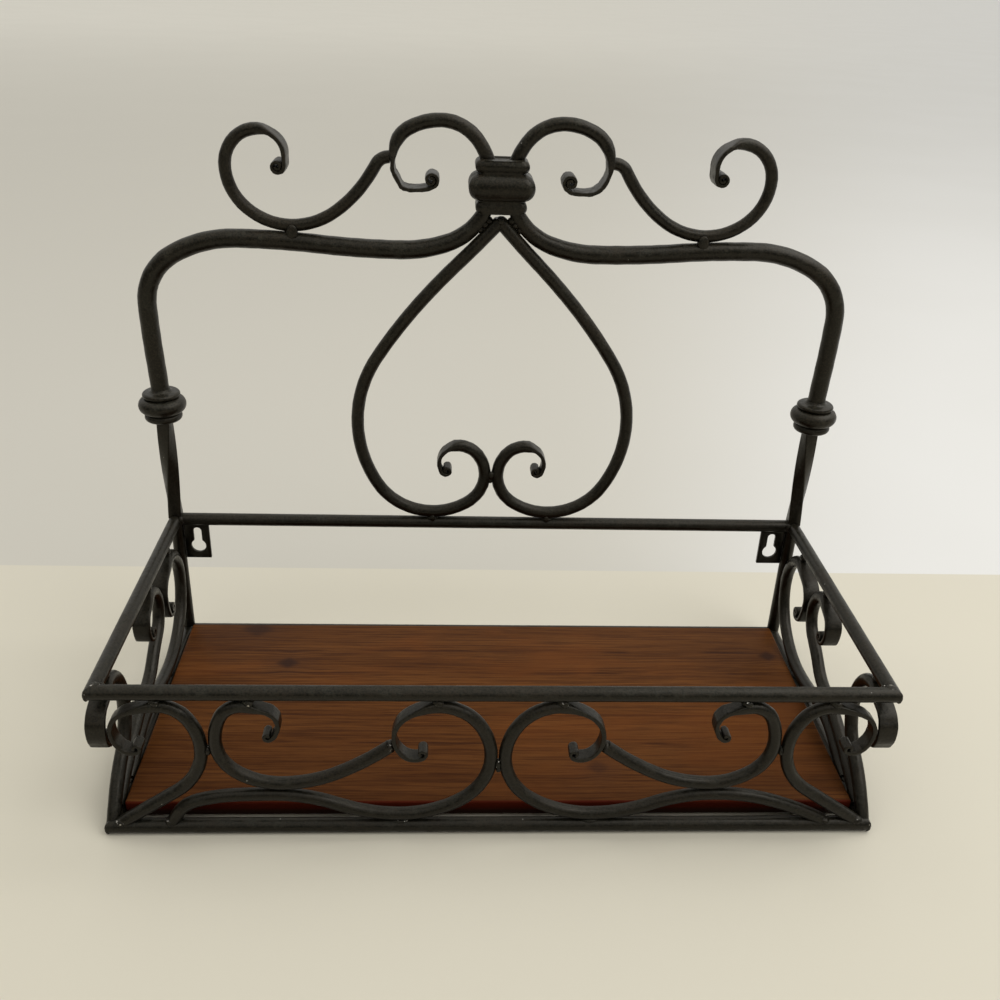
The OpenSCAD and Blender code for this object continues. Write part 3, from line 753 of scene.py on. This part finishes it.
# Crown curls: two 7.8 mm bars that rise out of the centre collar, curl outwards and down, and end in wide
# hammered strips with a roll at the tip. They are bent by hand, and the left one has a sharp corner.
curl_bar = 7.8
crown_strip = 15
curl_roll = 10


def in_left_back(out, up, wide):
    x, y, z = in_back(out, up, wide)
    return -x, y, z


right_curl = [(5, 217, 86), (34, 250.2, 0), (60.6, 230, -90), (48, 213.8, -180)]
finish(scroll("crown_curl_right_bar", right_curl, curl_bar, 1.75, crown_strip,
              curl_roll, (38.4, 219.8), -235, in_back), paint, "crown_curl_right")
left_curl = [(5, 217, 86), (34, 250.2, 0), (60.6, 231, -90), (60.9, 225, -94), (58.1, 218.6, -117),
             (54.4, 214.2, -168), (50.5, 213.5, -181), (44.5, 213.8, -185)]
finish(scroll("crown_curl_left_bar", left_curl, curl_bar, 1.75, crown_strip,
              curl_roll, (39.4, 219.2), -205, in_left_back), paint, "crown_curl_left")

# Crown side scrolls: bars whose blunt ends turn level against the crown curls. They are welded
# on top of the arch where they dip, and end in rolled strips that turn inwards.
crown_bar = 7
side_curl_roll = 9
dipping_way = [(62.9, 230, 0), (75.5, 217.5, -55), (119, 191, 0), (153.4, 222.5, 90),
               (134, 242.8, 180), (120, 230, 270)]
pair(scroll("crown_side_scroll_right_bar", dipping_way, crown_bar, 4, crown_strip,
            side_curl_roll, (124, 224), 330, in_back), "crown_side_scroll")

# Welds: lumps of weld that fill the grooves and the small gaps where the bars meet,
# sprayed over with the paint. A few that were left proud are rubbed bright.
bare_weld = (0.42, 0.4, 0.36, 1)
weld_crisp = 80
random.seed(11)


def bright_weld():
    """The same paint, rubbed through to bright metal on the proudest spots of a weld."""
    material = paint.copy()
    material.name = "rubbed_weld"
    tree = material.node_tree
    shader = tree.nodes["Principled BSDF"]
    place = Socket(tree, tree.nodes.new("ShaderNodeTexCoord").outputs["Object"])
    rubbed = noise(place, 420, 2).between(0.62, 0.68)
    painted = Socket(tree, shader.inputs["Base Color"].links[0].from_socket)
    join(rubbed.blend(painted, bare_weld), shader, "Base Color")
    join(rubbed * 0.8, shader, "Metallic")
    return material


def lump(at, size):
    """One lump of weld in the piece that is being edited: an uneven ball drawn out to its size in mm."""
    bpy.ops.mesh.primitive_ico_sphere_add(subdivisions=4, radius=1, location=at,
                                          scale=[length * mm / 2 for length in size])
    bpy.ops.transform.vertex_random(offset=0.03 * min(size) * mm, uniform=1.0, seed=random.randint(1, 99))


welds = start("front_weld_beads_welds")
for side in (-1, 1):
    for rim_contact in (31.8, 126.5, 173):
        lump(in_front(side * rim_contact * mm, 85.8 * mm, 0.4 * mm), (6, 6.6, 4))
        lump(in_front((side * rim_contact + 0.8) * mm, 85.4 * mm, 2.8 * mm), (4, 2.6, 3.4))
    # between two scrolls, and at their feet on the base rail
    lump(in_front(side * 55.9 * mm, 57.2 * mm, 0.2 * mm), (4.4, 7.6, 5.6))
    lump(in_front(side * 148.9 * mm, 54.6 * mm, 0.4 * mm), (3.2, 5.6, 5.4))
    lump(in_front((176 + side * 4) * side * mm, 7.8 * mm, 0.6 * mm), (6.6, 7, 4))
    lump(in_front(side * 198 * mm, 7.4 * mm, 0.8 * mm), (7, 6.6, 4.6))
    lump(in_front(side * 51.1 * mm, 8.1 * mm, 1.4 * mm), (8, 3.6, 1.8))
    # over, inside and outside each mitre
    for front_y, z in ((base_front.y, base_z), (rim_front.y, rim_z)):
        lump((side * (side_x - 1.4 * mm), front_y + 1.4 * mm, z + 3.4 * mm), (5.4, 5, 2))
        lump((side * (side_x - 4 * mm), front_y + 4 * mm, z), (3.4, 3.4, 6))
        lump((side * (side_x + 2.4 * mm), front_y - 2.4 * mm, z - 0.4 * mm), (3, 3, 6.6))
# where the two large scrolls touch
lump(in_front(0, 46 * mm, 1 * mm), (3.2, 4.4, 6.4))
lump(in_front(0.3 * mm, 42.8 * mm, 1.6 * mm), (2.8, 3, 3))
finish(welds, bright_weld(), "front_weld_beads", crisp=weld_crisp)

welds = start("side_weld_beads_welds")
for side in (-1, 1):
    # against the post, under the rim rail and on the base rail
    for out, up, long, high in ((4, 52, 2.6, 9), (30.5, 83.4, 6, 5), (76, 85, 6, 3.4), (160, 85, 6, 3.4),
                                (152, 7.4, 6.6, 3.4), (172.5, 7.4, 6.6, 3.4), (55, 8.4, 8, 2.2)):
        x, y, z = in_right_side(out * mm, up * mm, 0)
        lump((side * x, y, z), (5.4, long, high))
    # at the rear corners
    for z in (base_z, rim_z):
        lump((side * (side_x - 4 * mm), back_y - 4 * mm, z + 0.6 * mm), (3.6, 3.6, 6))
        lump((side * (side_x - 1 * mm), back_y - 1.6 * mm, z + 3.3 * mm), (6, 5, 2.2))
finish(welds, paint, "side_weld_beads", crisp=weld_crisp)

welds = start("back_weld_beads_welds")
# where the halves of the heart touch, at the bottom and under the centre collar
lump(in_back(0, 35.4 * mm, 2.4 * mm), (4.6, 3.4, 6))
lump(in_back(-0.4 * mm, 32 * mm, 2 * mm), (3.2, 3, 4))
lump(in_back(0.3 * mm, 196.8 * mm, 3.2 * mm), (3.8, 2.6, 4.6))
lump(in_back(0.6 * mm, 198.3 * mm, 0), (4.6, 5.4, 1.8))
for side in (-1, 1):
    for out, up in ((6.4, 196.8), (8.8, 194.4), (11.6, 191.8)):
        lump(in_back(side * out * mm, up * mm, 0.8 * mm), (4.6, 5.4, 4.4))
    # under the side collar
    lump((side * (side_x - 0.6 * mm), back_y - 4 * mm, collar_low.z - 0.8 * mm), (5.6, 2.6, 2.4))
    # the foot of the heart on the rim rail
    lump(in_back(side * 37.5 * mm, 4.1 * mm, 0.6 * mm), (7.4, 6.6, 2.8))
    lump(in_back(side * 37.2 * mm, 4.4 * mm, 2.9 * mm), (3.4, 2.6, 4.8))
    # the crown side scroll on the arch, and its end on the crown curl
    lump(in_back(side * 119 * mm, 186.9 * mm, 0), (8, 6, 2.8))
    lump(in_back(side * 118 * mm, 187.6 * mm, 3.7 * mm), (6.4, 2.8, 8.6))
    lump(in_back(side * 63.4 * mm, 230.4 * mm, 0), (3.4, 6, 6))
finish(welds, paint, "back_weld_beads", crisp=weld_crisp)

# Table and wall: a plain pale sheet that the shelf stands on. Its colour changes
# where the wall would begin, 88 mm behind the shelf; it only shows and takes the shadow.
table_colour = (0.695, 0.655, 0.545, 1)
wall_colour = (0.62, 0.596, 0.53, 1)
# painted light: the wall colours far off and towards the right are paler, where the window light falls
wall_far_painted_light = (0.8, 0.775, 0.7, 1)
wall_right_painted_light = (0.78, 0.775, 0.755, 1)
cloud_colour = (0.55, 0.53, 0.47, 1)
wall_y = back_y + 88 * mm
wall_blur = 0.6 * mm
viewer_y = -0.55


def pale_sheet():
    """Matt sheet, a little cloudy: the table in front, and a wall with painted light that pales it far off
    and to the right.
    """
    material, shader, place = new_material("pale_sheet")
    x, y = place.parts()[:2]
    beyond = (y - wall_y).between(-wall_blur, wall_blur)
    cloud = noise(place, 3, 2).between(0.3, 0.7)
    # painted light: the wall is paler far off and towards the right, as seen from in front of the shelf
    to_side = x / (y - viewer_y)
    wall = y.between(1.2, 7).blend(wall_colour, wall_far_painted_light)
    wall = to_side.between(0.05, 0.5).blend(wall, wall_right_painted_light)
    colour = beyond.blend(table_colour, wall)
    colour = (cloud * 0.05).blend(colour, cloud_colour)
    join(colour, shader, "Base Color")
    shader.inputs["Roughness"].default_value = 0.6
    shader.inputs["Specular IOR Level"].default_value = 0.2
    return material


bpy.ops.object.select_all(action="DESELECT")
bpy.ops.mesh.primitive_plane_add(size=60, location=(0, 0, 0))
floor = bpy.context.active_object
floor.name = "table_and_wall"
floor.data.materials.append(pale_sheet())

# Light: daylight from all round, as in a plain room. It is dark along the level of the room in front,
# rises towards the ceiling, and a large soft lamp stands for a window high on the right.
world = bpy.data.worlds.new("daylight")
bpy.context.scene.world = world
world.use_nodes = True
tree = world.node_tree
sky = tree.nodes["Background"]
way = Socket(tree, tree.nodes.new("ShaderNodeTexCoord").outputs["Generated"])
to_right, to_back, height = way.parts()
ceiling = height.between(0.06, 0.5) * 0.5 + height.between(0.45, 0.9) * 0.5
room = 0.03 + ceiling * 0.85
behind = to_back.between(-0.1, 0.35)
daylight = behind * (0.5 - room * 0.4) + room + to_right.between(0.1, 0.9) * 0.16
light_colour = daylight.node("ShaderNodeCombineColor", Red=daylight, Green=daylight * 0.985,
                             Blue=daylight * 0.94)
seen = way.node("ShaderNodeLightPath", give="Is Camera Ray")
join(seen.blend(light_colour, wall_colour), sky, "Color")
sky.inputs["Strength"].default_value = 1.0

lamp = bpy.data.objects.new("window_light", bpy.data.lights.new("window_light", "AREA"))
lamp.data.shape = "RECTANGLE"
lamp.data.size = 2.0
lamp.data.size_y = 1.5
lamp.data.energy = 17
lamp.location = (1.2, -0.25, 1.7)
lamp.rotation_euler = (Vector((0, 0, 0.1)) - lamp.location).to_track_quat("-Z", "Y").to_euler()
bpy.context.collection.objects.link(lamp)

# Camera: held some 420 mm over the table and 600 mm in front of the back, a little left of the middle,
# turned and tilted as the photograph was taken.
eye = Vector((-30.4 * mm, back_y - 601.4 * mm, 419.6 * mm))
yaw, pitch, roll = math.radians(3.51), math.radians(27.44), math.radians(2.38)
photo_width_px = 1000
focal_px = 1042
forward = Vector((math.sin(yaw) * math.cos(pitch), math.cos(yaw) * math.cos(pitch), -math.sin(pitch)))
level_right = Vector((math.cos(yaw), -math.sin(yaw), 0))
level_up = level_right.cross(forward)
right = math.cos(roll) * level_right + math.sin(roll) * level_up
up = -math.sin(roll) * level_right + math.cos(roll) * level_up
camera = bpy.data.objects.new("camera", bpy.data.cameras.new("camera"))
camera.data.sensor_width = 36
camera.data.lens = focal_px / photo_width_px * camera.data.sensor_width
camera.matrix_world = Matrix((
    (right.x, up.x, -forward.x, eye.x),
    (right.y, up.y, -forward.y, eye.y),
    (right.z, up.z, -forward.z, eye.z),
    (0, 0, 0, 1)))
bpy.context.collection.objects.link(camera)
bpy.context.scene.camera = camera
bpy.context.scene.view_settings.view_transform = "Standard"
